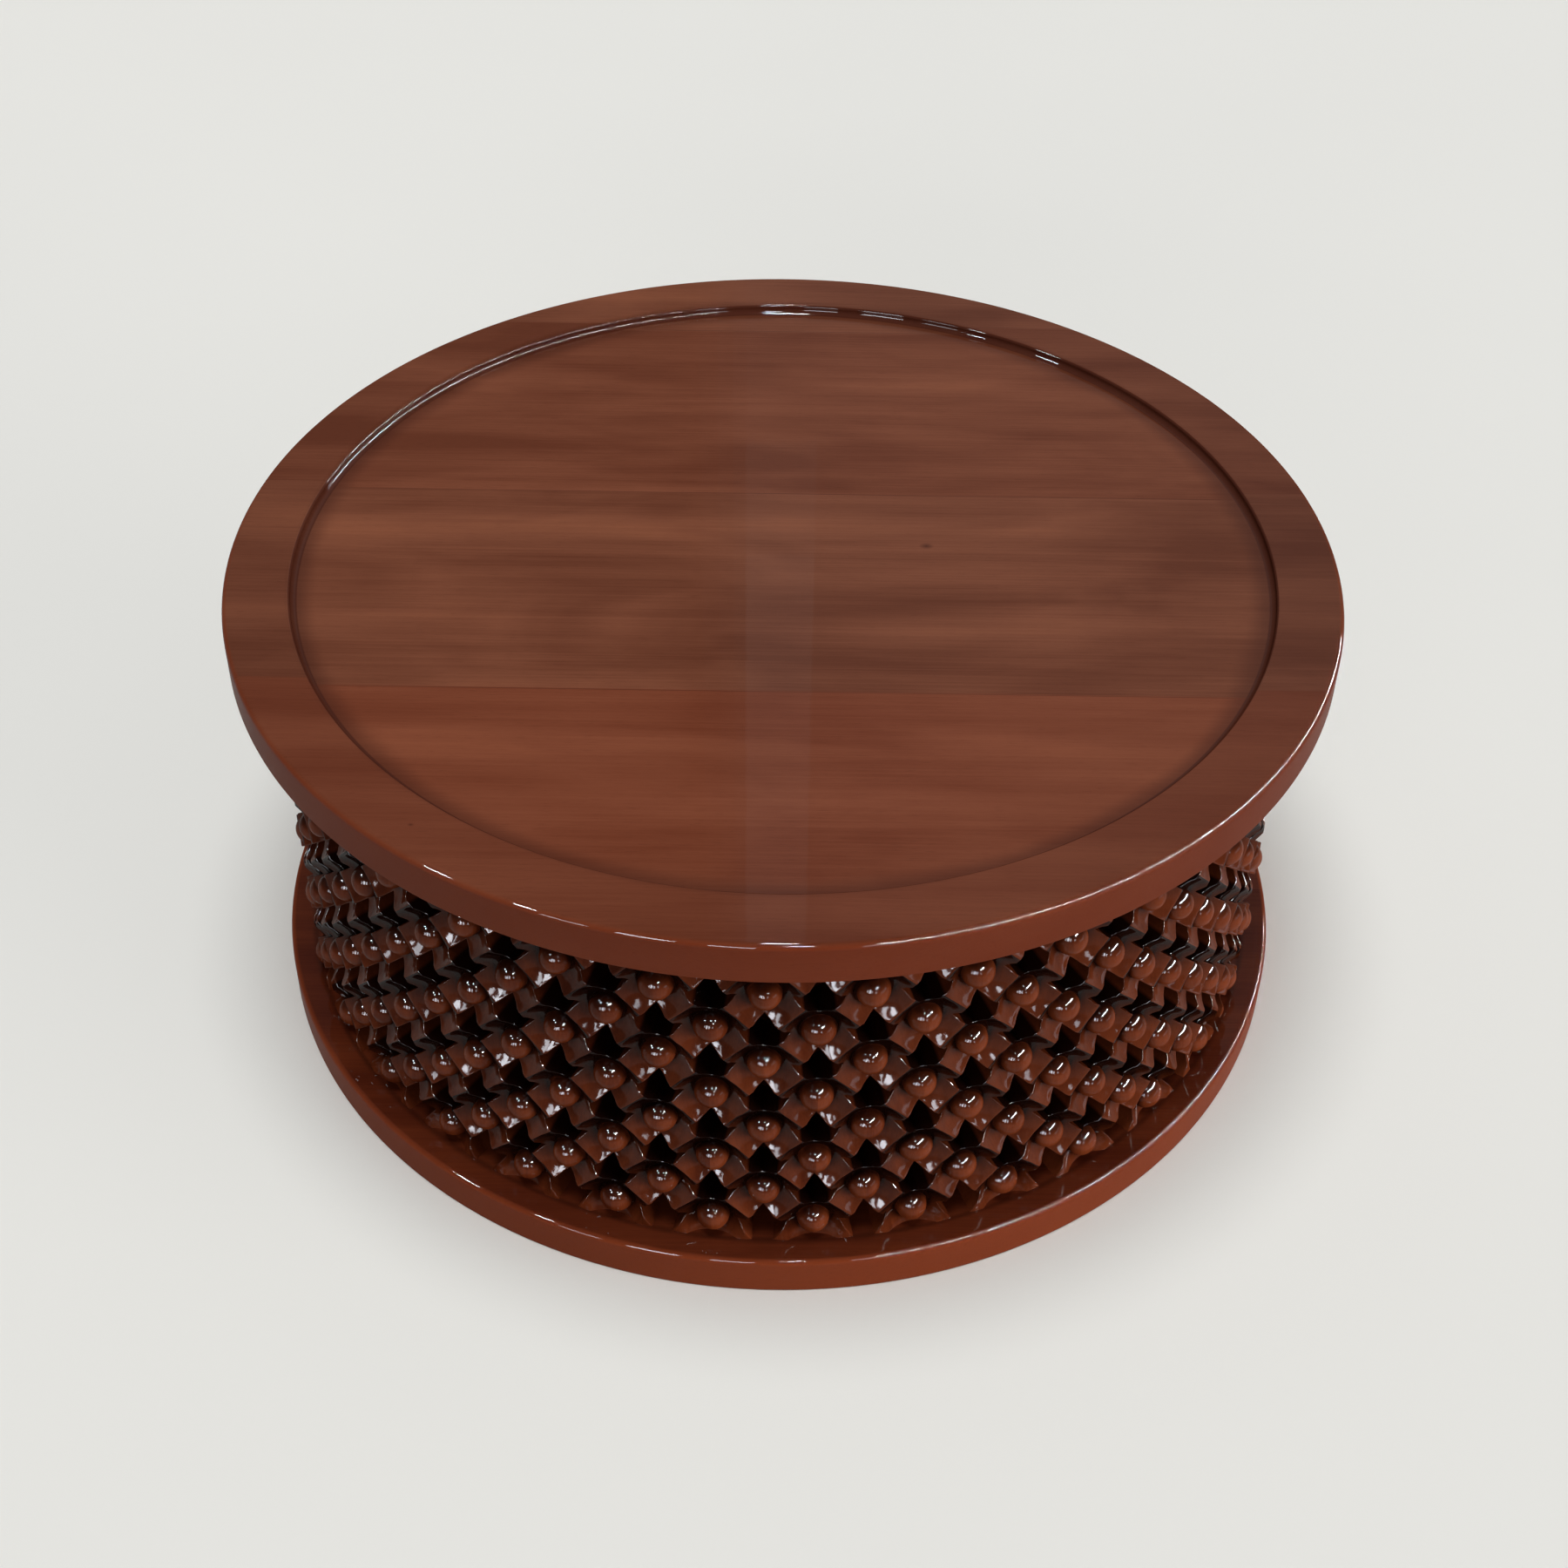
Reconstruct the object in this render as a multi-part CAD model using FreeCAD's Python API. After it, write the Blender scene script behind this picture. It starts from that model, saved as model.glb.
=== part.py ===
import FreeCAD, Part
import math
import os

# Round table in lacquered hardwood: a recessed top on a pierced, carved drum on a round base.
# Millimetres, +Z up. The origin is on the floor at the centre of the base, and the front faces -Y.
# The drum is coopered: equal staves, each one ball-to-ball column wide, dowelled edge to edge
# with the joints running through the middle of the balls.

# Overall sizes. The top stands out past the drum all round, and so does the base.
TABLE_HEIGHT = 434.0
TOP_DIAMETER = 1000.0
TOP_OVERHANG = 36.0
BASE_LEDGE = 24.5
TOP_THICKNESS = 38.5
BASE_THICKNESS = 38.5

# Tray recess and the eased edges of the two discs
RIM_WIDTH = 59.0
RECESS_DEPTH = 8.0
RECESS_COVE = 5.0
RIM_INNER_EASING = 2.5
TOP_EDGE_EASING = 5.0
BASE_EDGE_EASING = 5.0
EDGE_BEVELS = 3

# Seams between the boards of each disc from front to back, as shares of the drum's inner radius
TOP_SEAM_SHARES = (-0.437, 0.249, 0.935)
BASE_SEAM_SHARES = (-0.721, -0.036, 0.648)

# Drum and its carving
DRUM_WALL = 36.0
BALLS_PER_ROW = 33
ROWS = 9
BALL_RADIUS = 14.5
BALL_RISE = 3.5
BOWL_DEPTH = 14.0
BOWL_MOUTH_RADIUS = 30.0
ARM_WIDTH = 30.0
FOOT_GAP = 18.0
FIRST_JOINT_DEGREES = -85.8

# Loose tongues between boards
TONGUE_WIDTH = 24.0
TONGUE_THICKNESS = 8.0
TONGUE_CLEARANCE = 0.2

# Dowels between neighbouring staves, and from stave ends into the top and the base
JOINT_DOWEL_DIAMETER = 8.0
JOINT_DOWEL_LENGTH = 30.0
END_DOWEL_DIAMETER = 10.0
END_DOWEL_LENGTH = 48.0
END_DOWEL_SIDE_STEP = 12.0
STAVES_PER_END_DOWEL = 3
DOWEL_CLEARANCE = 0.15
DOWEL_END_GAP = 0.5

# How far a cutting tool runs past what it cuts
OVERRUN = 10.0

UP = FreeCAD.Vector(0, 0, 1)
OUTWARD = FreeCAD.Vector(1, 0, 0)
SIDEWAYS = FreeCAD.Vector(0, 1, 0)
ORIGIN = FreeCAD.Vector(0, 0, 0)

# Worked out from the sizes above
top_radius = TOP_DIAMETER / 2
drum_radius = top_radius - TOP_OVERHANG
base_radius = drum_radius + BASE_LEDGE
drum_inner_radius = drum_radius - DRUM_WALL
top_underside = TABLE_HEIGHT - TOP_THICKNESS
recess_floor = TABLE_HEIGHT - RECESS_DEPTH
recess_radius = top_radius - RIM_WIDTH
row_pitch = (top_underside - BASE_THICKNESS) / ROWS
stave_degrees = 360 / BALLS_PER_ROW
ball_centre_radius = drum_radius + BALL_RISE - BALL_RADIUS
half_column = ball_centre_radius * math.radians(stave_degrees) / 2
bowl_foot_radius = drum_radius - BOWL_DEPTH
dowel_circle_radius = (drum_inner_radius + bowl_foot_radius) / 2


def eased_corner(before, corner, after, easing):
    """Points that ease a square corner of an outline with narrow bevels laid along a quarter circle."""
    start = corner + (before - corner).normalize() * easing
    end = corner + (after - corner).normalize() * easing
    centre = start + end - corner
    turns = [math.pi / 2 * step / EDGE_BEVELS for step in range(EDGE_BEVELS + 1)]
    return [centre + (start - centre) * math.cos(turn) + (end - centre) * math.sin(turn) for turn in turns]


def turned_solid(corners):
    """Solid turned about Z. corners lists (radius, height, easing), from the axis round to the axis."""
    points = [FreeCAD.Vector(radius, 0, height) for radius, height, easing in corners]
    outline = []
    for index, (radius, height, easing) in enumerate(corners):
        if easing > 0:
            outline += eased_corner(points[index - 1], points[index], points[index + 1], easing)
        else:
            outline.append(points[index])
    return Part.Face(Part.makePolygon(outline + outline[:1])).revolve(ORIGIN, UP, 360)


def block(low, high):
    """Rectangular block between two corners given as (x, y, z)."""
    size = [high[axis] - low[axis] for axis in range(3)]
    return Part.makeBox(size[0], size[1], size[2], FreeCAD.Vector(*low))


def tongue_block(seam_y, middle_z, clearance):
    """Tongue across one seam, or its groove when clearance is added, ending inside the drum's wall."""
    reach = abs(seam_y) + TONGUE_WIDTH / 2
    half_length = math.sqrt(drum_inner_radius ** 2 - reach ** 2) - TONGUE_WIDTH + clearance
    half_width = TONGUE_WIDTH / 2 + clearance
    half_thickness = TONGUE_THICKNESS / 2 + clearance
    low = (-half_length, seam_y - half_width, middle_z - half_thickness)
    high = (half_length, seam_y + half_width, middle_z + half_thickness)
    return block(low, high)


def boards_and_tongues(disc, radius, seam_shares, middle_z):
    """Boards of a disc from front to back, and the tongues that join them."""
    seams = [share * drum_inner_radius for share in seam_shares]
    grooves = [tongue_block(seam, middle_z, TONGUE_CLEARANCE) for seam in seams]
    tongues = [tongue_block(seam, middle_z, 0) for seam in seams]
    grooved = disc.cut(grooves)
    edges = [-radius - OVERRUN] + seams + [radius + OVERRUN]
    boards = []
    for front, back in zip(edges, edges[1:]):
        strip = block((-radius - OVERRUN, front, -OVERRUN), (radius + OVERRUN, back, TABLE_HEIGHT + OVERRUN))
        boards.append(grooved.common(strip))
    return boards, tongues


def end_dowel_places():
    """Centre angle, in degrees, of each stave that holds a dowel at both of its ends."""
    return [stave_angle(index) for index in range(0, BALLS_PER_ROW, STAVES_PER_END_DOWEL)]


def stave_angle(index):
    """Angle, in degrees, of the middle of one stave."""
    return FIRST_JOINT_DEGREES + (index + 0.5) * stave_degrees


def end_dowel(level, clearance, end_gap):
    """Upright dowel through one level, in the frame of a stave whose middle is on +X."""
    half_length = END_DOWEL_LENGTH / 2 + end_gap
    foot = FreeCAD.Vector(dowel_circle_radius, END_DOWEL_SIDE_STEP - half_column, level - half_length)
    return Part.makeCylinder(END_DOWEL_DIAMETER / 2 + clearance, 2 * half_length, foot, UP)


def joint_dowel(height, clearance, end_gap):
    """Level dowel across a joint, in a frame where the joint is on +X."""
    half_length = JOINT_DOWEL_LENGTH / 2 + end_gap
    foot = FreeCAD.Vector(dowel_circle_radius, -half_length, height)
    return Part.makeCylinder(JOINT_DOWEL_DIAMETER / 2 + clearance, 2 * half_length, foot, SIDEWAYS)


def turned(shape, degrees):
    """Copy of a shape turned about the drum's axis."""
    copy = shape.copy()
    copy.rotate(ORIGIN, UP, degrees)
    return copy


def row_height(row):
    """Height of the middle of a row of balls. Rows count upwards from 0."""
    return BASE_THICKNESS + (row + 0.5) * row_pitch


def columns_with(row, is_ball):
    """Places of the balls, or of the holes, of one row in a stave, in half staves from its middle."""
    at_edges = (row % 2 == 0) == is_ball
    return (-1, 1) if at_edges else (0,)


def joint_dowel_rows():
    """Rows with a ball on the joint, apart from the first and last, where the end dowels are."""
    return range(2, ROWS - 2, 2)


def bowl_tool(row, side):
    """Sphere that scoops the bowl round one ball."""
    radius = (BOWL_MOUTH_RADIUS ** 2 + BOWL_DEPTH ** 2) / (2 * BOWL_DEPTH)
    centre = FreeCAD.Vector(bowl_foot_radius + radius, 0, row_height(row))
    return turned(Part.makeSphere(radius, centre, OUTWARD), side * stave_degrees / 2)


def hole_outline(row):
    """Corners of a hole between four arms, as distance to the side and height.

    A hole of the first or last row runs out of the drum's end, which leaves pointed feet on both
    sides of it, FOOT_GAP apart.
    """
    arm_step = math.hypot(half_column, row_pitch)
    open_share = 1 - ARM_WIDTH / 2 * arm_step / (half_column * row_pitch)
    half_wide = half_column * open_share
    half_tall = row_pitch * open_share
    half_gap = FOOT_GAP / 2
    middle = row_height(row)
    below = [(0, middle - half_tall)]
    above = [(0, middle + half_tall)]
    if row == 0:
        end = BASE_THICKNESS
        below = [(-half_gap, end), (-half_gap, end - OVERRUN), (half_gap, end - OVERRUN), (half_gap, end)]
    if row == ROWS - 1:
        end = top_underside
        above = [(half_gap, end), (half_gap, end + OVERRUN), (-half_gap, end + OVERRUN), (-half_gap, end)]
    return [(-half_wide, middle)] + below + [(half_wide, middle)] + above


def hole_tool(row, side):
    """Prism that cuts a hole straight through the drum's wall."""
    inner = drum_inner_radius - OVERRUN
    corners = [FreeCAD.Vector(inner, across, height) for across, height in hole_outline(row)]
    face = Part.Face(Part.makePolygon(corners + corners[:1]))
    return turned(face.extrude(OUTWARD * (DRUM_WALL + 2 * OVERRUN)), side * stave_degrees / 2)


def ball(row, side):
    """Ball standing in its bowl: whole at the middle of a stave, halved by the joint at an edge."""
    centre = FreeCAD.Vector(ball_centre_radius, 0, row_height(row))
    sweep = 360 if side == 0 else 180
    shape = Part.makeSphere(BALL_RADIUS, centre, OUTWARD, -90, 90, sweep)
    if side < 0:
        shape.rotate(centre, OUTWARD, 180)
    return turned(shape, side * stave_degrees / 2)


def carved_stave():
    """Stave with its middle on +X, carved and bored for the joint dowels."""
    height = top_underside - BASE_THICKNESS
    foot = FreeCAD.Vector(0, 0, BASE_THICKNESS)
    wedge = Part.makeCylinder(drum_radius, height, foot, UP, stave_degrees)
    core = Part.makeCylinder(drum_inner_radius, height, foot, UP, 360)
    blank = turned(wedge.cut(core), -stave_degrees / 2)
    cutters = []
    balls = []
    for row in range(ROWS):
        cutters += [bowl_tool(row, side) for side in columns_with(row, True)]
        cutters += [hole_tool(row, side) for side in columns_with(row, False)]
        balls += [ball(row, side) for side in columns_with(row, True)]
    stave = blank.cut(cutters).fuse(balls)
    bores = []
    for row in joint_dowel_rows():
        bore = joint_dowel(row_height(row), DOWEL_CLEARANCE, DOWEL_END_GAP)
        bores += [turned(bore, side * stave_degrees / 2) for side in (-1, 1)]
    return stave.cut(bores).removeSplitter()


def top_disc():
    """Turned top with its tray recess."""
    return turned_solid([
        (0, top_underside, 0),
        (top_radius, top_underside, 0),
        (top_radius, TABLE_HEIGHT, TOP_EDGE_EASING),
        (recess_radius, TABLE_HEIGHT, RIM_INNER_EASING),
        (recess_radius, recess_floor, RECESS_COVE),
        (0, recess_floor, 0),
    ])


def base_disc():
    """Turned base, flat on the floor."""
    return turned_solid([
        (0, 0, 0),
        (base_radius, 0, 0),
        (base_radius, BASE_THICKNESS, BASE_EDGE_EASING),
        (0, BASE_THICKNESS, 0),
    ])


def save(name, shapes):
    """Write one node. Each shape in it is a separate solid."""
    solids = [solid for shape in shapes for solid in shape.Solids]
    node = solids[0] if len(solids) == 1 else Part.makeCompound(solids)
    node.exportStep("parts/" + name + ".step")
    print(name, len(solids), "solids", "valid" if node.isValid() else "NOT VALID")


def main():
    """Build every node and write it."""
    os.makedirs("parts", exist_ok=True)

    top_bores = [turned(end_dowel(top_underside, DOWEL_CLEARANCE, DOWEL_END_GAP), angle)
                 for angle in end_dowel_places()]
    base_bores = [turned(end_dowel(BASE_THICKNESS, DOWEL_CLEARANCE, DOWEL_END_GAP), angle)
                  for angle in end_dowel_places()]

    top_middle = (top_underside + recess_floor) / 2
    boards, tongues = boards_and_tongues(top_disc().cut(top_bores), top_radius, TOP_SEAM_SHARES, top_middle)
    for number, board in enumerate(boards, 1):
        save("top_board_%d" % number, [board])
    save("top_tongues", tongues)

    stave = carved_stave()
    bored = stave.cut([end_dowel(top_underside, DOWEL_CLEARANCE, DOWEL_END_GAP),
                       end_dowel(BASE_THICKNESS, DOWEL_CLEARANCE, DOWEL_END_GAP)])
    for index in range(BALLS_PER_ROW):
        shape = bored if index % STAVES_PER_END_DOWEL == 0 else stave
        save("drum_stave_%02d" % (index + 1), [turned(shape, stave_angle(index))])
    joints = [FIRST_JOINT_DEGREES + index * stave_degrees for index in range(BALLS_PER_ROW)]
    save("stave_dowels", [turned(joint_dowel(row_height(row), 0, 0), angle)
                          for angle in joints for row in joint_dowel_rows()])
    save("top_dowels", [turned(end_dowel(top_underside, 0, 0), angle) for angle in end_dowel_places()])
    save("base_dowels", [turned(end_dowel(BASE_THICKNESS, 0, 0), angle) for angle in end_dowel_places()])

    boards, tongues = boards_and_tongues(base_disc().cut(base_bores), base_radius, BASE_SEAM_SHARES,
                                         BASE_THICKNESS / 2)
    for number, board in enumerate(boards, 1):
        save("base_board_%d" % number, [board])
    save("base_tongues", tongues)


main()
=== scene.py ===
"""Looks of a round drum table in lacquered hardwood: a recessed top on a pierced, carved drum on a base."""

import logging
import math
from dataclasses import dataclass, field
from enum import Enum

import bmesh
import bpy
import numpy as np
from mathutils import Matrix, Vector


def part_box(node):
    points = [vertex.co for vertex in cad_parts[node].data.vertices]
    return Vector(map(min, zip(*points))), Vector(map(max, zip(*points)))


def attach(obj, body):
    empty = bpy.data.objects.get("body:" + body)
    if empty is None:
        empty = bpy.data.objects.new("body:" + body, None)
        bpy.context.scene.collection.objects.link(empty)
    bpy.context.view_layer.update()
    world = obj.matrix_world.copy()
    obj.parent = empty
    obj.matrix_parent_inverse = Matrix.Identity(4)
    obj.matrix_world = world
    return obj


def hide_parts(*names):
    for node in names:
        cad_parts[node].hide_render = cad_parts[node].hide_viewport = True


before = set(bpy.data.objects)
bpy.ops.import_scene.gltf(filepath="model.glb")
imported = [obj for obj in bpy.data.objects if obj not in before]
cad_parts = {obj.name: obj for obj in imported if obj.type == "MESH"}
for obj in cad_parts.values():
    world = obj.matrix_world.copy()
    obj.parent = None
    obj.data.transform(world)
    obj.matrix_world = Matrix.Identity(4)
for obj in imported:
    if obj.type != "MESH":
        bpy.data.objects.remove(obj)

MM = 0.001
TABLE_MIDDLE = Vector((0.0, 0.0, 0.22))
log = logging.getLogger("drum_table")


def linear(hex_colour: str) -> tuple[float, float, float, float]:
    """Turn a colour written as sRGB hex into the linear values that shaders take.

    Args:
        hex_colour: Colour as six hex digits, such as "6e3e2d".

    Returns:
        Red, green, blue and an alpha of 1, in linear light.
    """
    parts = [int(hex_colour[at:at + 2], 16) / 255 for at in (0, 2, 4)]
    values = [part / 12.92 if part <= 0.04045 else ((part + 0.055) / 1.055) ** 2.4 for part in parts]
    return (*values, 1.0)


def add_node(tree: bpy.types.NodeTree, kind: str, settings: dict | None = None,
             links: dict | None = None) -> bpy.types.Node:
    """Add a node with its settings and links.

    Args:
        tree: Node tree that the node goes into.
        kind: Blender's name for the node type, without the ShaderNode prefix.
        settings: Values by name. A name that the node has as a property sets that property, and
            any other name or number is an input.
        links: Output sockets by the input that each one feeds.

    Returns:
        The new node.
    """
    node = tree.nodes.new("ShaderNode" + kind)
    for name, value in (settings or {}).items():
        if isinstance(name, str) and hasattr(node, name):
            setattr(node, name, value)
        else:
            node.inputs[name].default_value = value
    for name, socket in (links or {}).items():
        tree.links.new(socket, node.inputs[name])
    return node


def blank_material(name: str) -> tuple[bpy.types.Material, bpy.types.NodeTree]:
    """Start a material with an empty node tree.

    Args:
        name: Name of the material.

    Returns:
        The material and its node tree.
    """
    made = bpy.data.materials.new(name)
    made.use_nodes = True
    made.node_tree.nodes.clear()
    return made, made.node_tree


def put(name: str, data: bpy.types.ID) -> bpy.types.Object:
    """Put a mesh, a light or a camera into the scene.

    Args:
        name: Name of the object.
        data: What it holds.

    Returns:
        The new object.
    """
    made = bpy.data.objects.new(name, data)
    bpy.context.scene.collection.objects.link(made)
    return made


class Grain(Enum):
    """Direction that the fibres of a piece run in."""

    ALONG_X = "x"
    ALONG_Z = "z"

    def scale(self, along: float, across: float) -> tuple[float, float, float]:
        """Scale a pattern so that it is long with the fibres and narrow across them.

        Args:
            along: Length of one feature with the fibres, in metres.
            across: Width of one feature across them, in metres.

        Returns:
            Scale for a mapping node, in features per metre.
        """
        if self is Grain.ALONG_X:
            return (1 / along, 1 / across, 1 / across)
        return (1 / across, 1 / across, 1 / along)


@dataclass(frozen=True)
class Lacquer:
    """Stained hardwood under a thin, clear, polished lacquer.

    The stain gives a warm red-brown with soft darker bands, the pores give short fine lines, and the
    lacquer lies over both as a wet gloss that mirrors lamps sharply. Where it has pooled, it is dark,
    and painted shade darkens it in rings, in recesses and round the drum's balls.
    """

    name: str
    grain: Grain
    pale: str
    middle: str
    deep: str
    # Dark colour for the glaze, and for the painted shade that the mesh and the ring carry.
    glaze_and_shade: str
    band_mm: tuple[float, float] = (340.0, 16.0)
    cloud_mm: tuple[float, float] = (420.0, 90.0)
    cloud_share: float = 0.55
    # Real pores are under 0.3 mm wide. They are drawn 0.7 mm wide, so that they show in the render.
    pore_mm: tuple[float, float] = (14.0, 0.7)
    pore_range: tuple[float, float] = (0.56, 0.7)
    pore_depth: float = 0.16
    pore_colour: str = "4a2a20"
    pore_relief: float = 0.05 * MM
    # Real fibre lines are hair-fine. They are drawn 2 mm wide, so that they show in the render.
    line_mm: tuple[float, float] = (170.0, 2.0)
    line_share: float = 0.15
    # A board's tone makes it paler or darker, and moves its figure by so many metres.
    tone_lift: float = 0.22
    figure_shift: tuple[float, float, float] = (3.1, 2.3, 1.7)
    stain_stops: tuple[float, float, float] = (0.4, 0.58, 0.76)
    peel_mm: float = 9.0
    peel_depth: float = 0.02
    # A dark ring of painted shade, with dark glaze in it on the top, wavers between two reaches, the second
    # one on top of the first, as shares of its width.
    ring_radius: float = 0.0
    ring_width: float = 0.0
    ring_shade_and_glaze: float = 0.5
    ring_wobble: float = 120 * MM
    ring_reach: tuple[float, float] = (0.3, 1.4)
    seam_start: float = 0.0
    seam_step: float = 0.0
    seam_width: float = 0.7 * MM
    seam_glaze: float = 0.6
    knots: tuple[tuple[float, float, float], ...] = ()
    knot_squeeze: float = 0.7
    knot_glaze: float = 0.8
    ruddy: str = "76331a"
    wood_roughness: float = 0.45
    gloss: float = 0.22
    coat_roughness: float = 0.02

    def material(self) -> bpy.types.Material:
        """Build the lacquered wood.

        Returns:
            The material, which reads from its mesh the point attributes of tone, of dark glaze with painted
            shade, and of redness.
        """
        made, tree = blank_material(self.name)
        here = add_node(tree, "TexCoord").outputs["Object"]
        tone = add_node(tree, "Attribute", {"attribute_name": "tone"})
        away = add_node(tree, "VectorMath", {"operation": "MULTIPLY", 1: self.figure_shift},
                        {0: tone.outputs["Vector"]})
        spot = add_node(tree, "VectorMath", {"operation": "ADD"}, {0: here, 1: away.outputs[0]})

        def pattern(size_mm: tuple[float, float], detail: float, roughness: float,
                    distortion: float = 0.0) -> bpy.types.NodeSocket:
            """Noise stretched with the fibres.

            Args:
                size_mm: Length and width of one feature, in millimetres.
                detail: Octaves of finer noise.
                roughness: Strength of the finer octaves.
                distortion: How far the noise is warped.

            Returns:
                The noise's value.
            """
            scale = self.grain.scale(size_mm[0] * MM, size_mm[1] * MM)
            mapped = add_node(tree, "Mapping", {"Scale": scale}, {"Vector": spot.outputs[0]})
            noise = add_node(tree, "TexNoise", {"Scale": 1.0, "Detail": detail, "Roughness": roughness,
                                                "Distortion": distortion},
                             {"Vector": mapped.outputs[0]})
            return noise.outputs["Fac"]

        bands = pattern(self.band_mm, 3.0, 0.5, 0.4)
        clouds = pattern(self.cloud_mm, 3.0, 0.55, 0.6)
        fibres = pattern(self.line_mm, 2.0, 0.5)
        pores = pattern(self.pore_mm, 2.0, 0.6)
        broad = add_node(tree, "Mix", {"data_type": "FLOAT", "Factor": self.cloud_share},
                         {2: bands, 3: clouds})
        figure = add_node(tree, "Mix", {"data_type": "FLOAT", "Factor": self.line_share},
                          {2: broad.outputs[0], 3: fibres})
        lift = add_node(tree, "Math", {"operation": "MULTIPLY_ADD", 1: self.tone_lift},
                        {0: tone.outputs["Fac"], 2: figure.outputs[0]})
        stain = add_node(tree, "ValToRGB", {}, {"Fac": lift.outputs[0]})
        stops = stain.color_ramp.elements
        stops.new(self.stain_stops[1])
        for stop, at, colour in zip(stops, self.stain_stops, (self.deep, self.middle, self.pale)):
            stop.position, stop.color = at, linear(colour)
        lines = add_node(tree, "MapRange", {"From Min": self.pore_range[0], "From Max": self.pore_range[1],
                                            "To Min": 0.0, "To Max": self.pore_depth}, {"Value": pores})
        redness = add_node(tree, "Attribute", {"attribute_name": "ruddy"})
        ruddy = add_node(tree, "Mix", {"data_type": "RGBA", 7: linear(self.ruddy)},
                         {"Factor": redness.outputs["Fac"], 6: stain.outputs["Color"]})
        pored = add_node(tree, "Mix", {"data_type": "RGBA", "blend_type": "MULTIPLY",
                                       7: linear(self.pore_colour)},
                         {"Factor": lines.outputs[0], 6: ruddy.outputs[2]})
        pooled_and_shaded = self.darken_with_glaze_and_shade(tree, here, pored.outputs[2])
        peel = add_node(tree, "TexNoise", {"Scale": 1 / (self.peel_mm * MM), "Detail": 1.0},
                        {"Vector": here})
        skin = add_node(tree, "Bump", {"Strength": 1.0, "Distance": self.peel_depth * MM},
                        {"Height": peel.outputs["Fac"]})
        relief = add_node(tree, "Bump", {"Strength": 0.25, "Distance": self.pore_relief, "invert": True},
                          {"Height": lines.outputs[0], "Normal": skin.outputs[0]})
        shader = add_node(tree, "BsdfPrincipled", {
            "Roughness": self.wood_roughness, "IOR": 1.5, "Specular IOR Level": 0.0,
            "Coat Weight": self.gloss, "Coat Roughness": self.coat_roughness, "Coat IOR": 1.52,
        }, {"Base Color": pooled_and_shaded, "Normal": relief.outputs[0], "Coat Normal": skin.outputs[0]})
        add_node(tree, "OutputMaterial", {}, {"Surface": shader.outputs[0]})
        return made

    def darken_with_glaze_and_shade(self, tree: bpy.types.NodeTree, here: bpy.types.NodeSocket,
                wood: bpy.types.NodeSocket) -> bpy.types.NodeSocket:
        """Darken the wood: with glaze and painted shade in a ring, where the tinted lacquer has pooled
        along seams and at knots, and with the glaze and painted shade that the mesh carries.

        Args:
            tree: The material's node tree.
            here: Place of the shaded point.
            wood: Colour of the wood.

        Returns:
            The colour with the dark glaze and painted shade in it.
        """
        pools_and_shade = []
        if self.ring_width > 0:
            flat = add_node(tree, "VectorMath", {"operation": "MULTIPLY", 1: (1.0, 1.0, 0.0)}, {0: here})
            radius = add_node(tree, "VectorMath", {"operation": "LENGTH"}, {0: flat.outputs[0]})
            off = add_node(tree, "Math", {"operation": "SUBTRACT", 1: self.ring_radius},
                           {0: radius.outputs["Value"]})
            gap = add_node(tree, "Math", {"operation": "ABSOLUTE"}, {0: off.outputs[0]})
            wobble = add_node(tree, "TexNoise", {"Scale": 1 / self.ring_wobble, "Detail": 2.0},
                              {"Vector": here})
            least, more = (share * self.ring_width for share in self.ring_reach)
            reach = add_node(tree, "Math", {"operation": "MULTIPLY_ADD", 1: more, 2: least},
                             {0: wobble.outputs["Fac"]})
            # Painted shade in a wavering ring.
            pools_and_shade.append(({"interpolation_type": "SMOOTHSTEP", "To Min": self.ring_shade_and_glaze},
                          {"Value": gap.outputs[0], "From Max": reach.outputs[0]}))
        if self.seam_step > 0:
            across = add_node(tree, "SeparateXYZ", {}, {"Vector": here})
            since = add_node(tree, "Math", {"operation": "SUBTRACT", 1: self.seam_start},
                             {0: across.outputs["Y"]})
            inside = add_node(tree, "Math", {"operation": "MAXIMUM", 1: -self.seam_step / 2},
                              {0: since.outputs[0]})
            away = add_node(tree, "Math", {"operation": "PINGPONG", 1: self.seam_step / 2},
                            {0: inside.outputs[0]})
            pools_and_shade.append(({"From Max": self.seam_width, "To Min": self.seam_glaze},
                          {"Value": away.outputs[0]}))
        for x, y, radius in self.knots:
            level = add_node(tree, "VectorMath",
                             {"operation": "MULTIPLY", 1: (self.knot_squeeze, 1.0, 0.0)}, {0: here})
            apart = add_node(tree, "VectorMath",
                             {"operation": "DISTANCE", 1: (self.knot_squeeze * x, y, 0.0)},
                             {0: level.outputs[0]})
            pools_and_shade.append(({"From Max": radius, "To Min": self.knot_glaze},
                          {"Value": apart.outputs["Value"]}))
        # The glaze and painted shade that the mesh carries.
        pool_and_shade = add_node(tree, "Attribute", {"attribute_name": "glaze_and_shade"}).outputs["Fac"]
        for settings, links in pools_and_shade:
            darker = add_node(tree, "MapRange", {"From Min": 0.0, "To Max": 0.0, **settings}, links)
            deepest = add_node(tree, "Math", {"operation": "MAXIMUM"}, {0: pool_and_shade, 1: darker.outputs[0]})
            pool_and_shade = deepest.outputs[0]
        mixed = add_node(tree, "Mix", {"data_type": "RGBA", 7: linear(self.glaze_and_shade)},
                         {"Factor": pool_and_shade, 6: wood})
        return mixed.outputs[2]


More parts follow.
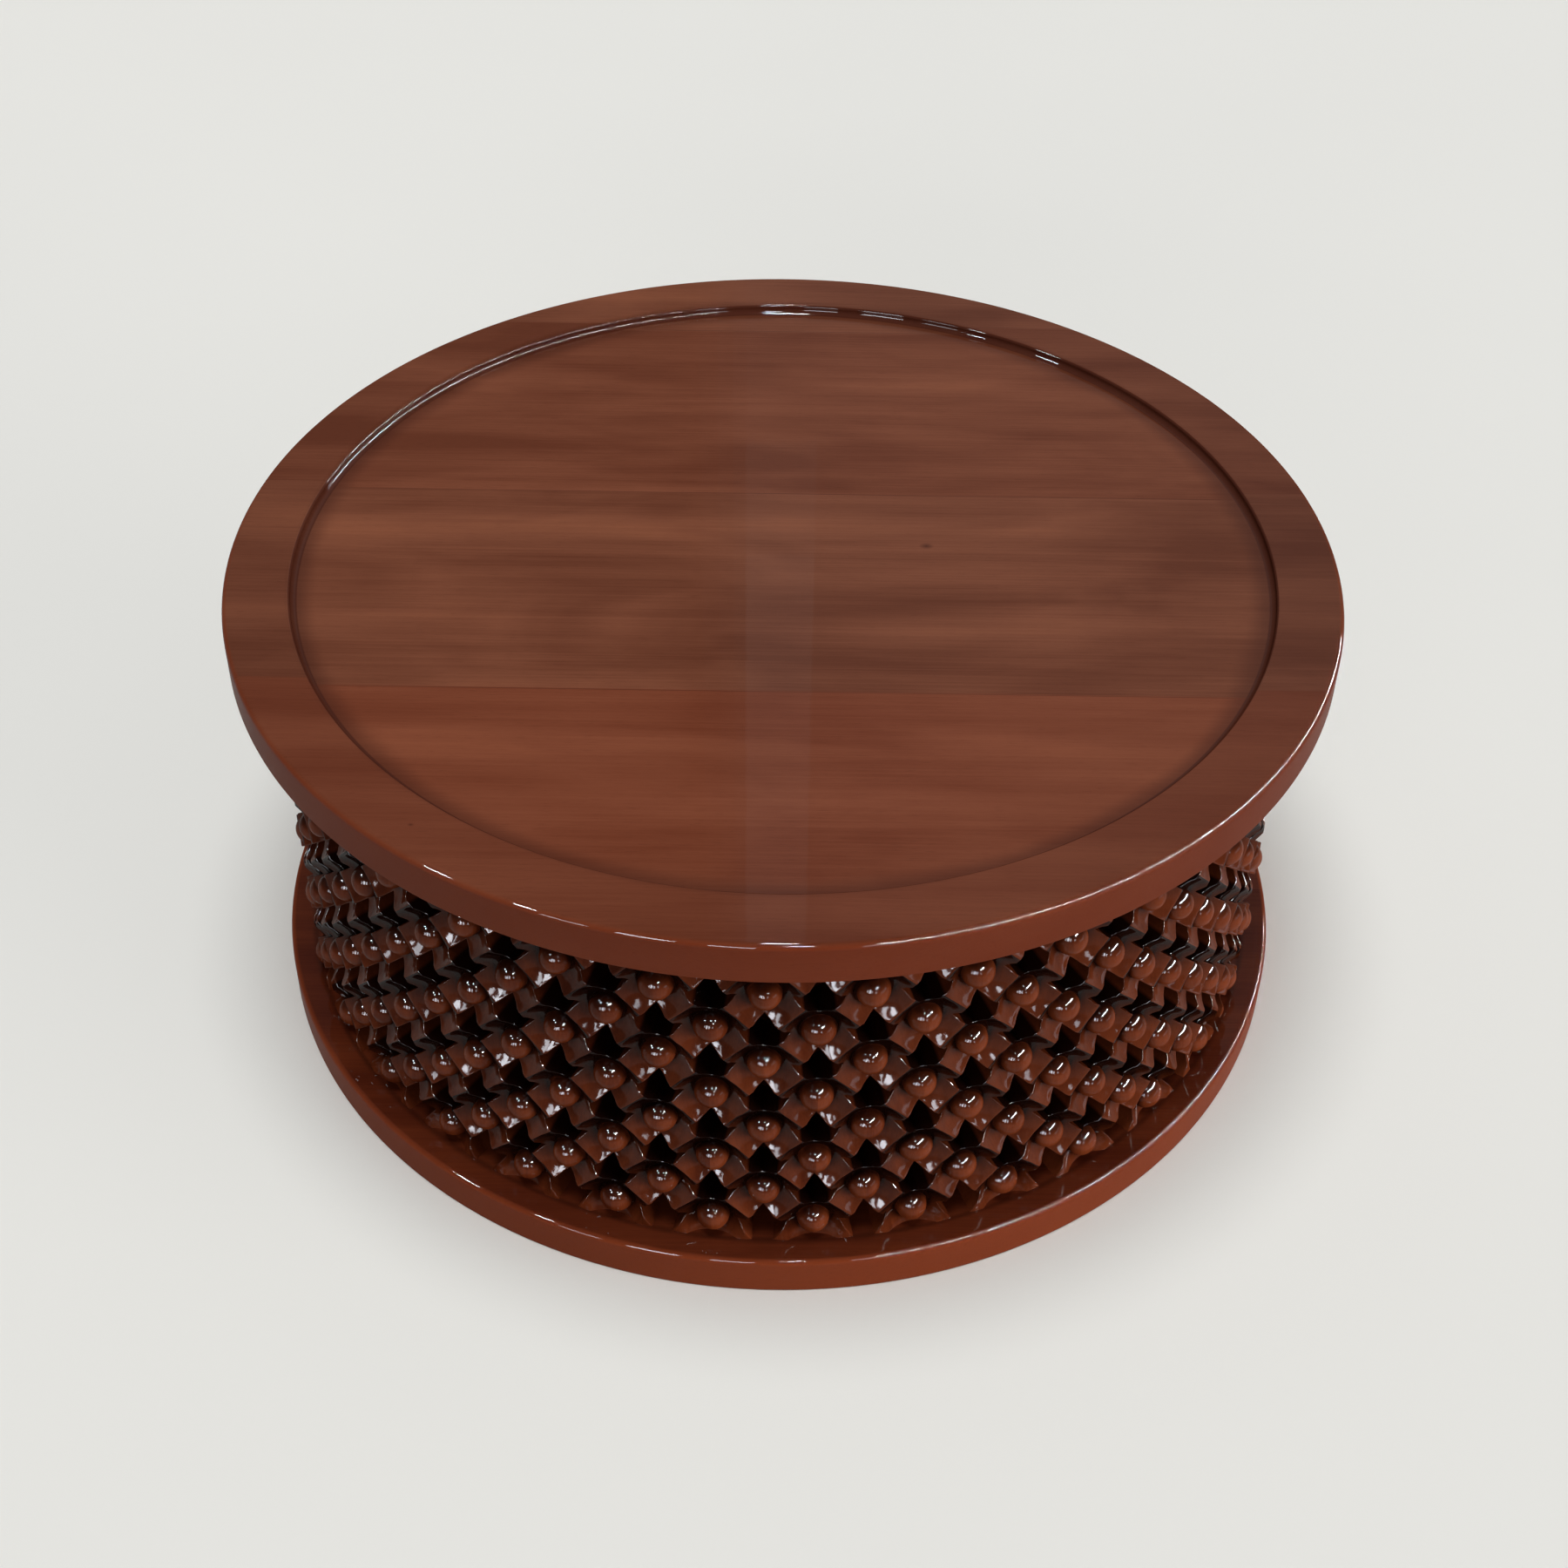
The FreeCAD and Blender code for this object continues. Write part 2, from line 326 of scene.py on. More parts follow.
@dataclass(frozen=True)
class BareWood:
    """Planed beech without finish, as on tongues and dowels: pale, dry and softly streaked."""

    name: str = "planed_beech"
    pale: str = "cdb08a"
    dark: str = "a9855c"
    streak: tuple[float, float] = (60 * MM, 1.5 * MM)

    def material(self) -> bpy.types.Material:
        """Build the bare wood.

        Returns:
            The material.
        """
        made, tree = blank_material(self.name)
        place = add_node(tree, "TexCoord")
        mapped = add_node(tree, "Mapping", {"Scale": Grain.ALONG_X.scale(*self.streak)},
                          {"Vector": place.outputs["Object"]})
        streaks = add_node(tree, "TexNoise", {"Scale": 1.0, "Detail": 3.0}, {"Vector": mapped.outputs[0]})
        colour = add_node(tree, "Mix", {"data_type": "RGBA", 6: linear(self.dark), 7: linear(self.pale)},
                          {"Factor": streaks.outputs["Fac"]})
        shader = add_node(tree, "BsdfPrincipled", {"Roughness": 0.65}, {"Base Color": colour.outputs[2]})
        add_node(tree, "OutputMaterial", {}, {"Surface": shader.outputs[0]})
        return made


def mark(mesh: bpy.types.Mesh, name: str, values: np.ndarray) -> None:
    """Store one number per vertex.

    Args:
        mesh: Mesh to mark.
        name: Name of the point attribute.
        values: One value per vertex.
    """
    attribute = mesh.attributes.new(name, "FLOAT", "POINT")
    attribute.data.foreach_set("value", np.asarray(values, np.float32))


def place_piece(mesh: bpy.types.Mesh, node: str, finish: bpy.types.Material) -> bpy.types.Object:
    """Put a finished mesh in the frame in place of the node of the same piece.

    Args:
        mesh: Mesh in metres, in the shared frame.
        node: Node that it stands for.
        finish: Its material.

    Returns:
        The new object.
    """
    piece = put(node + "_finished", mesh)
    mesh.materials.append(finish)
    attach(piece, "root")
    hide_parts(node)
    return piece


@dataclass
class Disc:
    """A turned round of solid boards, glued side by side."""

    part: str
    finish: Lacquer
    tones: tuple[float, ...]
    redness: tuple[float, ...] = (0.0, 0.0, 0.0, 0.0)
    top_rounding: float = 5 * MM
    under_rounding: float = 1.5 * MM
    rim_width: float = 0.0
    recess_depth: float = 0.0
    inner_rounding: float = 0.0
    cove: float = 0.0
    round_steps: int = 10
    around: int = 540
    crease: float = math.radians(40)
    side_redness: float = 0.75
    # The rim is darker, the more so at its sides and on the right, and less at the back.
    rim_darkening: float = 0.24
    right_darkening: float = 0.08
    side_darkening: float = 0.08
    back_darkening: float = -0.18
    # Painted shade on the recess's wall and cove, fading out over a short stretch of floor beyond the cove.
    wall_shade: float = 0.85
    wall_shade_fade: float = 2.5 * MM
    nodes: list[str] = field(init=False)
    boxes: list[tuple[Vector, Vector]] = field(init=False)

    def __post_init__(self) -> None:
        """Read the boards' places from the frame."""
        self.nodes = [f"{self.part}_board_{number + 1}" for number in range(len(self.tones))]
        self.boxes = [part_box(node) for node in self.nodes]

    @property
    def radius(self) -> float:
        """Outer radius, from the widest board."""
        return max(high.x for low, high in self.boxes)

    @property
    def height(self) -> tuple[float, float]:
        """Lowest and highest point."""
        return self.boxes[0][0].z, self.boxes[0][1].z

    @property
    def seams(self) -> list[float]:
        """Where the boards meet, from front to back."""
        return [high.y for low, high in self.boxes[:-1]]

    def arc(self, before: tuple[float, float], corner: tuple[float, float], after: tuple[float, float],
            rounding: float) -> list[tuple[float, float]]:
        """Round one square corner of the profile.

        Args:
            before: Profile corner before this one, as radius and height.
            corner: The corner to round.
            after: Profile corner after it.
            rounding: Radius of the rounding.

        Returns:
            Points along the quarter circle.
        """
        here = Vector(corner)
        start = (Vector(before) - here).normalized() * rounding
        end = (Vector(after) - here).normalized() * rounding
        centre = here + start + end
        turns = [math.pi / 2 * step / self.round_steps for step in range(self.round_steps + 1)]
        return [tuple(centre - end * math.cos(turn) - start * math.sin(turn)) for turn in turns]

    def profile(self) -> list[tuple[float, float]]:
        """Outline from the axis underneath, round the edge, to the axis on top.

        Returns:
            Points as radius and height.
        """
        low, high = self.height
        inner = self.radius - self.rim_width
        floor = high - self.recess_depth
        corners = [(0.0, low, 0.0), (self.radius, low, self.under_rounding),
                   (self.radius, high, self.top_rounding)]
        if self.rim_width > 0:
            corners += [(inner, high, self.inner_rounding), (inner, floor, self.cove),
                        (inner - self.cove - self.wall_shade_fade, floor, 0.0)]
        corners.append((0.0, floor, 0.0))
        points = []
        for at, (radius, height, rounding) in enumerate(corners):
            if rounding > 0:
                points += self.arc(corners[at - 1][:2], (radius, height), corners[at + 1][:2], rounding)
            else:
                points.append((radius, height))
        return points

    def turned(self) -> bmesh.types.BMesh:
        """Turn the profile about the axis.

        Returns:
            The whole disc as one closed mesh.
        """
        bm = bmesh.new()
        rings = []
        for radius, height in self.profile():
            if radius == 0.0:
                rings.append([bm.verts.new((0.0, 0.0, height))])
                continue
            angles = [2 * math.pi * step / self.around for step in range(self.around)]
            rings.append([bm.verts.new((radius * math.cos(angle), radius * math.sin(angle), height))
                          for angle in angles])
        for ring, after in zip(rings, rings[1:]):
            for at in range(self.around):
                to = (at + 1) % self.around
                if len(ring) == 1:
                    bm.faces.new((ring[0], after[to], after[at]))
                elif len(after) == 1:
                    bm.faces.new((ring[at], ring[to], after[0]))
                else:
                    bm.faces.new((ring[at], ring[to], after[to], after[at]))
        return bm

    def board(self, whole: bmesh.types.BMesh, index: int) -> bpy.types.Mesh:
        """Cut one board out of the disc.

        Args:
            whole: The turned disc.
            index: Number of the board, counted from the front.

        Returns:
            The closed mesh of the board.
        """
        bm = whole.copy()
        cuts = [(seam, side) for seam, side in zip(self.seams[max(index - 1, 0):index + 1],
                                                   (-1, 1) if index else (1,))]
        for seam, facing in cuts:
            cut = bmesh.ops.bisect_plane(bm, geom=bm.verts[:] + bm.edges[:] + bm.faces[:], dist=1e-7,
                                         plane_co=(0.0, seam, 0.0), plane_no=(0.0, facing, 0.0),
                                         clear_outer=True)
            edges = [item for item in cut["geom_cut"] if isinstance(item, bmesh.types.BMEdge)]
            bmesh.ops.contextual_create(bm, geom=edges)
        bmesh.ops.recalc_face_normals(bm, faces=bm.faces[:])
        mesh = bpy.data.meshes.new("board")
        bm.to_mesh(mesh)
        bm.free()
        return mesh

    def pooled_and_shaded(self, spots: np.ndarray) -> np.ndarray:
        """Painted shade down the recess's wall and cove, and a darkening over the rim, the more so at its
        sides and on the right, less at the back.

        Args:
            spots: Place of each point.

        Returns:
            The painted shade and rim darkening at each point.
        """
        reach = np.hypot(spots[:, 0], spots[:, 1])
        if self.rim_width == 0:
            return np.zeros(len(reach))
        inner, high = self.radius - self.rim_width, self.height[1]
        wall = (np.abs(reach - inner) < self.cove + MM) & (spots[:, 2] < high - 0.2 * MM)
        right, back = spots[:, 0] / self.radius, spots[:, 1] / self.radius
        rim = (self.rim_darkening + self.right_darkening * right + self.side_darkening * np.abs(right)
               + self.back_darkening * np.maximum(back, 0))
        # Painted shade on the recess's wall and cove.
        return np.where(wall & (reach < self.radius - MM), self.wall_shade, rim * (reach > inner))

    def build(self) -> None:
        """Build, finish and place every board."""
        whole = self.turned()
        material = self.finish.material()
        for index, (node, tone) in enumerate(zip(self.nodes, self.tones)):
            mesh = self.board(whole, index)
            mesh.shade_smooth()
            mesh.set_sharp_from_angle(angle=self.crease)
            mark(mesh, "tone", np.full(len(mesh.vertices), tone))
            spots = np.zeros((len(mesh.vertices), 3))
            mesh.vertices.foreach_get("co", spots.ravel())
            reach = np.hypot(spots[:, 0], spots[:, 1])
            mark(mesh, "glaze_and_shade", self.pooled_and_shaded(spots))
            out = (reach - self.radius) / self.top_rounding + 1
            mark(mesh, "ruddy", np.maximum(np.clip(out, 0, 1) * self.side_redness, self.redness[index]))
            piece = place_piece(mesh, node, material)
            even = piece.modifiers.new("even_flats", "WEIGHTED_NORMAL")
            even.keep_sharp = True
            log.info("%s: %d faces", piece.name, len(mesh.polygons))
        whole.free()


class Edge(Enum):
    """What the surface meets along a stretch of the border round one ball."""

    HOLE = 0
    RIDGE = 1
    END = 2


@dataclass
class Drum:
    """The pierced drum: staggered rows of balls in scooped bowls, with a hole between every four.

    The surface is laid out ball by ball. Round each ball, rays run out over the ball, down into its
    bowl and up to the border with its neighbours, in a plane where s is along the wall and z is up.
    """

    finish: Lacquer
    columns: int = 33
    rows: int = 9
    first_joint: float = math.radians(-85.8)
    radius: float = 464 * MM
    wall: float = 36 * MM
    ball_radius: float = 14.5 * MM
    ball_rise: float = 3.5 * MM
    bowl_depth: float = 14 * MM
    bowl_mouth: float = 30 * MM
    arm_width: float = 30 * MM
    foot_gap: float = 18 * MM
    edge_rounding: float = 1.1 * MM
    ridge_softness: float = 0.22 * MM
    side_steps: int = 4
    ball_tilts: tuple[int, ...] = (0, 11, 22, 33, 44, 55, 66, 76, 84, 90)
    foot_rings_mm: tuple[float, ...] = (0.0, 0.35, 1.1)
    foot_groove: float = 0.5 * MM
    groove_shares: tuple[float, ...] = (1.0, 0.9, 0.1)
    bowl_rings: int = 5
    rounding_shares: tuple[float, ...] = (0.5, 0.15, 0.0)
    inside_shares: tuple[float, ...] = (1.0, 0.62, 0.3, 0.0)
    seed: int = 11
    wander: float = 0.7 * MM
    swell_mm: float = 0.5
    squash_share: float = 0.035
    unevenness: float = 0.2 * MM
    wave_count: int = 7
    wave_mm: tuple[float, float] = (13.0, 34.0)
    stave_tone: float = 0.07
    # Painted light: staves towards the right front are made paler, for the light that falls on that side.
    painted_light_side: float = 0.6
    painted_light_angle: float = math.radians(-12)
    # Dark glaze with painted shade: in the crease round each ball's foot and in the bowls, deeper on their
    # downward-facing upper sides. On the balls' brows it is painted shade alone.
    foot_glaze_and_shade: float = 0.9
    foot_glaze_and_shade_reach: tuple[float, float] = (1.0 * MM, 2.2 * MM)
    bowl_glaze_and_shade: float = 0.65
    bowl_shade_lift: float = 0.33
    bowl_glaze_and_shade_run: float = 2 * MM
    brow_shade: float = 0.75
    brow_shade_heights: tuple[float, float] = (0.35, 0.8)

    def __post_init__(self) -> None:
        """Work the lattice out from the sizes and from the frame."""
        low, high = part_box("drum_stave_01")
        self.foot, self.head = low.z, high.z
        self.pitch = (self.head - self.foot) / self.rows
        self.step = 2 * math.pi / self.columns
        self.ball_centre = self.radius + self.ball_rise - self.ball_radius
        self.half_column = self.ball_centre * self.step / 2
        self.inner = self.radius - self.wall
        self.bowl_radius = (self.bowl_mouth ** 2 + self.bowl_depth ** 2) / (2 * self.bowl_depth)
        self.bowl_centre = self.radius - self.bowl_depth + self.bowl_radius
        self.arm_step = math.hypot(self.half_column, self.pitch)
        share = 1 - self.arm_width / 2 * self.arm_step / (self.half_column * self.pitch)
        self.corner = np.array([self.half_column * (1 - share), 0.0])
        self.peak = np.array([0.0, self.pitch * (1 - share)])
        self.foot_tip = np.array([self.half_column - self.foot_gap / 2, self.pitch / 2])
        rng = np.random.default_rng(self.seed)
        shape = (self.rows + 2, self.columns)
        self.shift = rng.uniform(-1, 1, shape + (3,)) * self.wander
        self.swell = rng.uniform(-self.swell_mm, self.swell_mm, shape) * MM
        self.squash = 1 + rng.uniform(-self.squash_share, self.squash_share, shape + (2,))
        self.bowl_shift = rng.uniform(-1, 1, shape + (3,)) * self.wander
        lengths = rng.uniform(*self.wave_mm, self.wave_count) * MM
        headings = rng.uniform(0, math.pi, self.wave_count)
        self.wave_turns = np.round(2 * math.pi * self.ball_centre / lengths * np.cos(headings))
        self.wave_rises = 2 * math.pi / lengths * np.sin(headings)
        self.wave_starts = rng.uniform(0, 2 * math.pi, self.wave_count)
        self.wave_heights = rng.uniform(0.5, 1.0, self.wave_count) * self.unevenness / 2

    @property
    def rounding_share(self) -> float:
        """Width of a rounded edge, as a share of half an arm's width."""
        return self.edge_rounding / (self.arm_width / 2)

    @property
    def last_outer(self) -> int:
        """Number of the last ring round a ball that lies on the outer surface."""
        return (len(self.ball_tilts) + len(self.foot_rings_mm) + self.bowl_rings
                + len(self.rounding_shares) - 2)

    def row_z(self, row: np.ndarray) -> np.ndarray:
        """Height of the middle of each row, counted from 0 upwards."""
        return self.foot + (row + 0.5) * self.pitch

    def angle(self, row: np.ndarray, column: np.ndarray) -> np.ndarray:
        """Angle of each ball. Even rows stand on the joints, odd rows on the middles of the staves."""
        return self.first_joint + (column + 0.5 * (row % 2)) * self.step

    def surface(self, row: np.ndarray, column: np.ndarray, s: np.ndarray, z: np.ndarray) -> np.ndarray:
        """Radius of the scooped surface.

        Args:
            row: Row of each ball, shaped to match s.
            column: Column of each ball.
            s: Distance along the wall from the ball.
            z: Height above the ball.

        Returns:
            Distance from the drum's axis at each point.
        """
        reaches = [np.full(s.shape, self.radius)]
        for side, rise in ((0, 0), (1, 1), (1, -1), (-1, 1), (-1, -1)):
            other_row = row + rise
            moved = (row % 2) if side > 0 else (row % 2) - 1
            other_column = (column + moved) % self.columns if side else column
            index = np.clip(other_row + 1, 0, self.rows + 1)
            offset = self.bowl_shift[index, other_column]
            turn = (s - side * self.half_column - offset[..., 0]) / self.ball_centre
            up = z - rise * self.pitch - offset[..., 1]
            centre = self.bowl_centre + offset[..., 2]
            inside = self.bowl_radius ** 2 - up ** 2 - (centre * np.sin(turn)) ** 2
            carved = (other_row >= 0) & (other_row < self.rows)
            bowl = centre * np.cos(turn) - np.sqrt(np.maximum(inside, 0))
            reaches.append(np.where(carved, bowl, 2 * self.radius))
        stack = np.stack(reaches)
        least = stack.min(0)
        soft = self.ridge_softness
        blend = least - soft * np.log(np.exp(-(stack - least) / soft).sum(0))
        angle = self.angle(row, column) + s / self.ball_centre
        height = self.row_z(row) + z
        waves = [size * np.cos(turns * angle + rises * height + start) for size, turns, rises, start in
                 zip(self.wave_heights, self.wave_turns, self.wave_rises, self.wave_starts)]
        return blend + np.sum(waves, axis=0)

    def quadrant(self, cut: bool) -> tuple[np.ndarray, np.ndarray, np.ndarray, list[Edge]]:
        """Border of a quarter of the ground round a ball, from the axis along the wall to the upright one.

        Args:
            cut: True where the drum's own end cuts the quarter off.

        Returns:
            Border points as s and z, the hole axis that each point's wall keeps square to, how fully
            it does so, and what lies beyond each stretch between them.
        """
        steps = self.side_steps
        if cut:
            share = np.linspace(0, 1, 2 * steps + 1)[:, None]
            side = self.corner + (self.foot_tip - self.corner) * share
            end = self.foot_tip * (1 - share[1:] * (1, 0))
            hold = np.concatenate([np.ones(len(side)), np.zeros(len(end))])
            kinds = [Edge.HOLE] * 2 * steps + [Edge.END] * 2 * steps
            return np.concatenate([side, end]), np.full(len(hold), self.half_column), hold, kinds
        reach = np.array([self.half_column, self.pitch])
        across = np.array([-self.pitch, self.half_column]) / self.arm_step * self.arm_width / 2
        near = self.rounding_share
        half = np.array([0.0, 0.5, 1 - near, 1 - 0.3 * near, 1.0])
        spread = np.concatenate([-half[:0:-1], half])
        share = np.linspace(0, 1, steps + 1)[:, None]
        ridge = reach / 2 + across * spread[:, None]
        side = self.corner + (ridge[0] - self.corner) * share[:-1]
        close = ridge[-1] + (self.peak - ridge[-1]) * share[1:]
        hold = np.concatenate([np.ones(steps), np.abs(spread), np.ones(steps)])
        axis = np.where(np.arange(len(hold)) < steps + len(spread) // 2, self.half_column, 0.0)
        kinds = [Edge.HOLE] * steps + [Edge.RIDGE] * (len(spread) - 1) + [Edge.HOLE] * steps
        return np.concatenate([side, ridge, close]), axis, hold, kinds

    def border(self, row: int) -> tuple[np.ndarray, np.ndarray, np.ndarray, np.ndarray]:
        """Border of the ground round a ball, from the bottom up its right side and down its left.

        Args:
            row: Row of the ball.

        Returns:
            Border points as s and z with the first one repeated at the end, their hole axes, how
            fully each wall keeps square to its axis, and the kind of each stretch.
        """
        low = self.quadrant(row == 0)
        high = self.quadrant(row == self.rows - 1)
        parts = ((low, (1, -1), True), (high, (1, 1), False),
                 (high, (-1, 1), True), (low, (-1, -1), False))
        points, axes, holds, kinds = [], [], [], []
        for at, ((ground, axis, hold, kind), sign, turned) in enumerate(parts):
            way = slice(None, None, -1) if turned else slice(None)
            keep = slice(0 if at == 0 else 1, None)
            points.append((ground * sign)[way][keep])
            axes.append((axis * sign[0])[way][keep])
            holds.append(hold[way][keep])
            kinds += [edge.value for edge in kind[way]]
        return np.concatenate(points), np.concatenate(axes), np.concatenate(holds), np.array(kinds)

    def easing(self, row: np.ndarray, s: np.ndarray, z: np.ndarray) -> np.ndarray:
        """How far the hand-rounded edges of the holes fall below the scooped surface.

        Args:
            row: Row of each ball, shaped to match s.
            s: Distance along the wall from the ball.
            z: Height above the ball.

        Returns:
            The drop at each point.
        """
        off = np.abs(np.abs(s) * self.pitch - np.abs(z) * self.half_column) / self.arm_step
        room = self.arm_width / 2 - off
        way = (self.foot_tip - self.corner) / np.hypot(*(self.foot_tip - self.corner))
        steep = (self.corner[0] - np.abs(s)) * way[1] + np.abs(z) * way[0]
        cut = ((row == 0) & (z < 0)) | ((row == self.rows - 1) & (z > 0))
        short = np.clip(self.edge_rounding - np.where(cut, steep, room), 0, self.edge_rounding)
        return self.edge_rounding - np.sqrt(self.edge_rounding ** 2 - short ** 2)

    def back_turn(self, turn: np.ndarray, reach: np.ndarray, axis: np.ndarray,
                  hold: np.ndarray) -> np.ndarray:
        """Turn of a border point on the inside of the drum, where the holes are straight through.

        Args:
            turn: Its turn from the ball on the outside.
            reach: Its distance from the drum's axis there.
            axis: Turn of the hole's own axis from the ball.
            hold: How fully the wall keeps square to that axis.

        Returns:
            Its turn from the ball on the inside.
        """
        square = axis + np.arcsin(reach * np.sin(turn - axis) / self.inner)
        return turn + (square - turn) * hold

    def ground(self, rows: np.ndarray, columns: np.ndarray) -> tuple[np.ndarray, np.ndarray]:
        """Points of the ground round many balls, ring by ring from the ball's top to the drum's inside.

        Args:
            rows: Row of each ball; all have the same kind of border.
            columns: Column of each ball.

        Returns:
            Points by ball, ring and ray, and the dark glaze and painted shade at each.
        """
        edge, axis, hold, _ = self.border(int(rows[0]))
        heading = edge / np.hypot(*edge.T)[:, None]
        row, column = rows[:, None, None], columns[:, None, None]
        free = np.stack([rows % 2, np.ones(len(rows)), np.ones(len(rows))], -1)
        moved = self.shift[rows + 1, columns] * free
        squash = self.squash[rows + 1, columns]
        size = self.ball_radius + self.swell[rows + 1, columns][:, None, None]
        tilt = np.radians(self.ball_tilts)[None, :, None]
        wide = size * np.sin(tilt)
        ball_s = moved[:, 0, None, None] + wide * heading[:, 0] * squash[:, 0, None, None]
        ball_z = moved[:, 1, None, None] + wide * heading[:, 1] * squash[:, 1, None, None]
        ball_r = self.ball_centre + moved[:, 2, None, None] * 0.5 + size * np.cos(tilt)
        ball_turn = np.arctan2(ball_s, ball_r)
        ball_reach = np.hypot(ball_s, ball_r)
        beyond = np.array(self.foot_rings_mm)[None, :, None] * MM
        foot_s = ball_s[:, -1:] + heading[:, 0] * beyond
        foot_z = ball_z[:, -1:] + heading[:, 1] * beyond
        inner_edge = edge * (1 - self.rounding_share)
        share = (np.arange(self.bowl_rings) + 1)[None, :, None] / self.bowl_rings
        bowl_s = foot_s[:, -1:] + (inner_edge[:, 0] - foot_s[:, -1:]) * share
        bowl_z = foot_z[:, -1:] + (inner_edge[:, 1] - foot_z[:, -1:]) * share
        ends = 1 - self.rounding_share * np.array(self.rounding_shares)[None, :, None]
        end_s = np.broadcast_to(edge[:, 0] * ends, (len(rows), ends.shape[1], len(edge)))
        end_z = np.broadcast_to(edge[:, 1] * ends, (len(rows), ends.shape[1], len(edge)))
        s = np.concatenate([foot_s, bowl_s, end_s], 1)
        z = np.concatenate([foot_z, bowl_z, end_z], 1)
        reach = self.surface(np.broadcast_to(row, s.shape), np.broadcast_to(column, s.shape), s, z)
        reach = reach - self.easing(row, s, z)
        reach[:, :len(self.groove_shares)] -= np.array(self.groove_shares)[None, :, None] * self.foot_groove
        turn = s / self.ball_centre
        back = self.back_turn(turn[:, -1:], reach[:, -1:], axis / self.ball_centre, hold)
        shrink = np.array(self.inside_shares)[None, :, None]
        turns = np.concatenate([ball_turn[:, :-1], turn, back * shrink], 1)
        rises = np.concatenate([ball_z[:, :-1], z, z[:, -1:] * shrink], 1)
        reaches = np.concatenate([np.maximum(ball_reach[:, :-1], reach[:, :1]), reach,
                                  np.full_like(back * shrink, self.inner)], 1)
        pooled_and_shaded = self.pooled_and_shaded(turns * self.ball_centre, rises)
        return self.in_space(row, column, turns, rises, reaches), pooled_and_shaded

    def pooled_and_shaded(self, s: np.ndarray, z: np.ndarray) -> np.ndarray:
        """Dark glaze with painted shade: thick round the feet of the balls, thinner in the bowls but deeper
        towards their upper, downward-facing sides, and painted shade alone on the balls' brows.

        Args:
            s: Distance along the wall from the ball.
            z: Height above the ball.

        Returns:
            The glaze and painted shade at each point.
        """
        off = np.hypot(s, z) - self.ball_radius
        inwards, outwards = self.foot_glaze_and_shade_reach
        # Glaze and painted shade in the crease round the ball's foot.
        foot = np.exp(-np.abs(off) / np.where(off > 0, outwards, inwards))
        over = np.clip(z / self.ball_radius, -1, 1)
        # Glaze in the bowls, with painted shade deeper up each bowl, where it faces down.
        bowl = np.clip(off / self.bowl_glaze_and_shade_run, 0, 1) * (self.bowl_glaze_and_shade + self.bowl_shade_lift * over)
        start, full = self.brow_shade_heights
        # Painted shade on the ball's brow, under the bowl above it.
        brow = np.clip((over - start) / (full - start), 0, 1) * self.brow_shade * (off <= 0)
        return np.clip(np.maximum(self.foot_glaze_and_shade * foot + bowl, brow), 0, 1)

    def in_space(self, row: np.ndarray, column: np.ndarray, turn: np.ndarray, rise: np.ndarray,
                 reach: np.ndarray) -> np.ndarray:
        """Carry points from the ground round their balls into the frame.

        Args:
            row: Row of each ball.
            column: Column of each ball.
            turn: Turn of each point from its ball.
            rise: Height of each point above its ball.
            reach: Distance of each point from the drum's axis.

        Returns:
            The points in the frame.
        """
        angle = self.angle(row, column) + turn
        height = np.broadcast_to(self.row_z(row) + rise, angle.shape)
        return np.stack([reach * np.cos(angle), reach * np.sin(angle), height], -1)

    def build(self) -> None:
        """Build, finish and place every stave."""
        every = np.arange(self.columns)
        work = Patchwork(self.last_outer)
        for row in range(self.rows):
            points, pooled_and_shaded = self.ground(np.full(self.columns, row), every)
            kinds = self.border(row)[3]
            half = points.shape[2] // 2
            if row % 2:
                work.add_ground(points, pooled_and_shaded, kinds)
                continue
            work.add_ground(points[:, :, :half + 1], pooled_and_shaded[:, :, :half + 1], kinds[:half], -1)
            after = np.roll(points, -1, axis=0)[:, :, half:]
            work.add_ground(after, np.roll(pooled_and_shaded, -1, axis=0)[:, :, half:], kinds[half:], 1)
        material = self.finish.material()
        rng = np.random.default_rng(self.seed + 1)
        tones = rng.uniform(-self.stave_tone, self.stave_tone, self.columns)
        around = self.first_joint + (every + 0.5) * self.step
        # Painted light: paler staves towards the right front, where the light falls.
        tones += self.painted_light_side * np.clip(np.cos(around - self.painted_light_angle), 0, 1)
        for index, (mesh, glaze_and_shade) in enumerate(work.meshes()):
            mark(mesh, "tone", np.full(len(mesh.vertices), tones[index]))
            mark(mesh, "glaze_and_shade", glaze_and_shade)
            piece = place_piece(mesh, f"drum_stave_{index + 1:02d}", material)
            log.info("%s: %d faces", piece.name, len(mesh.polygons))


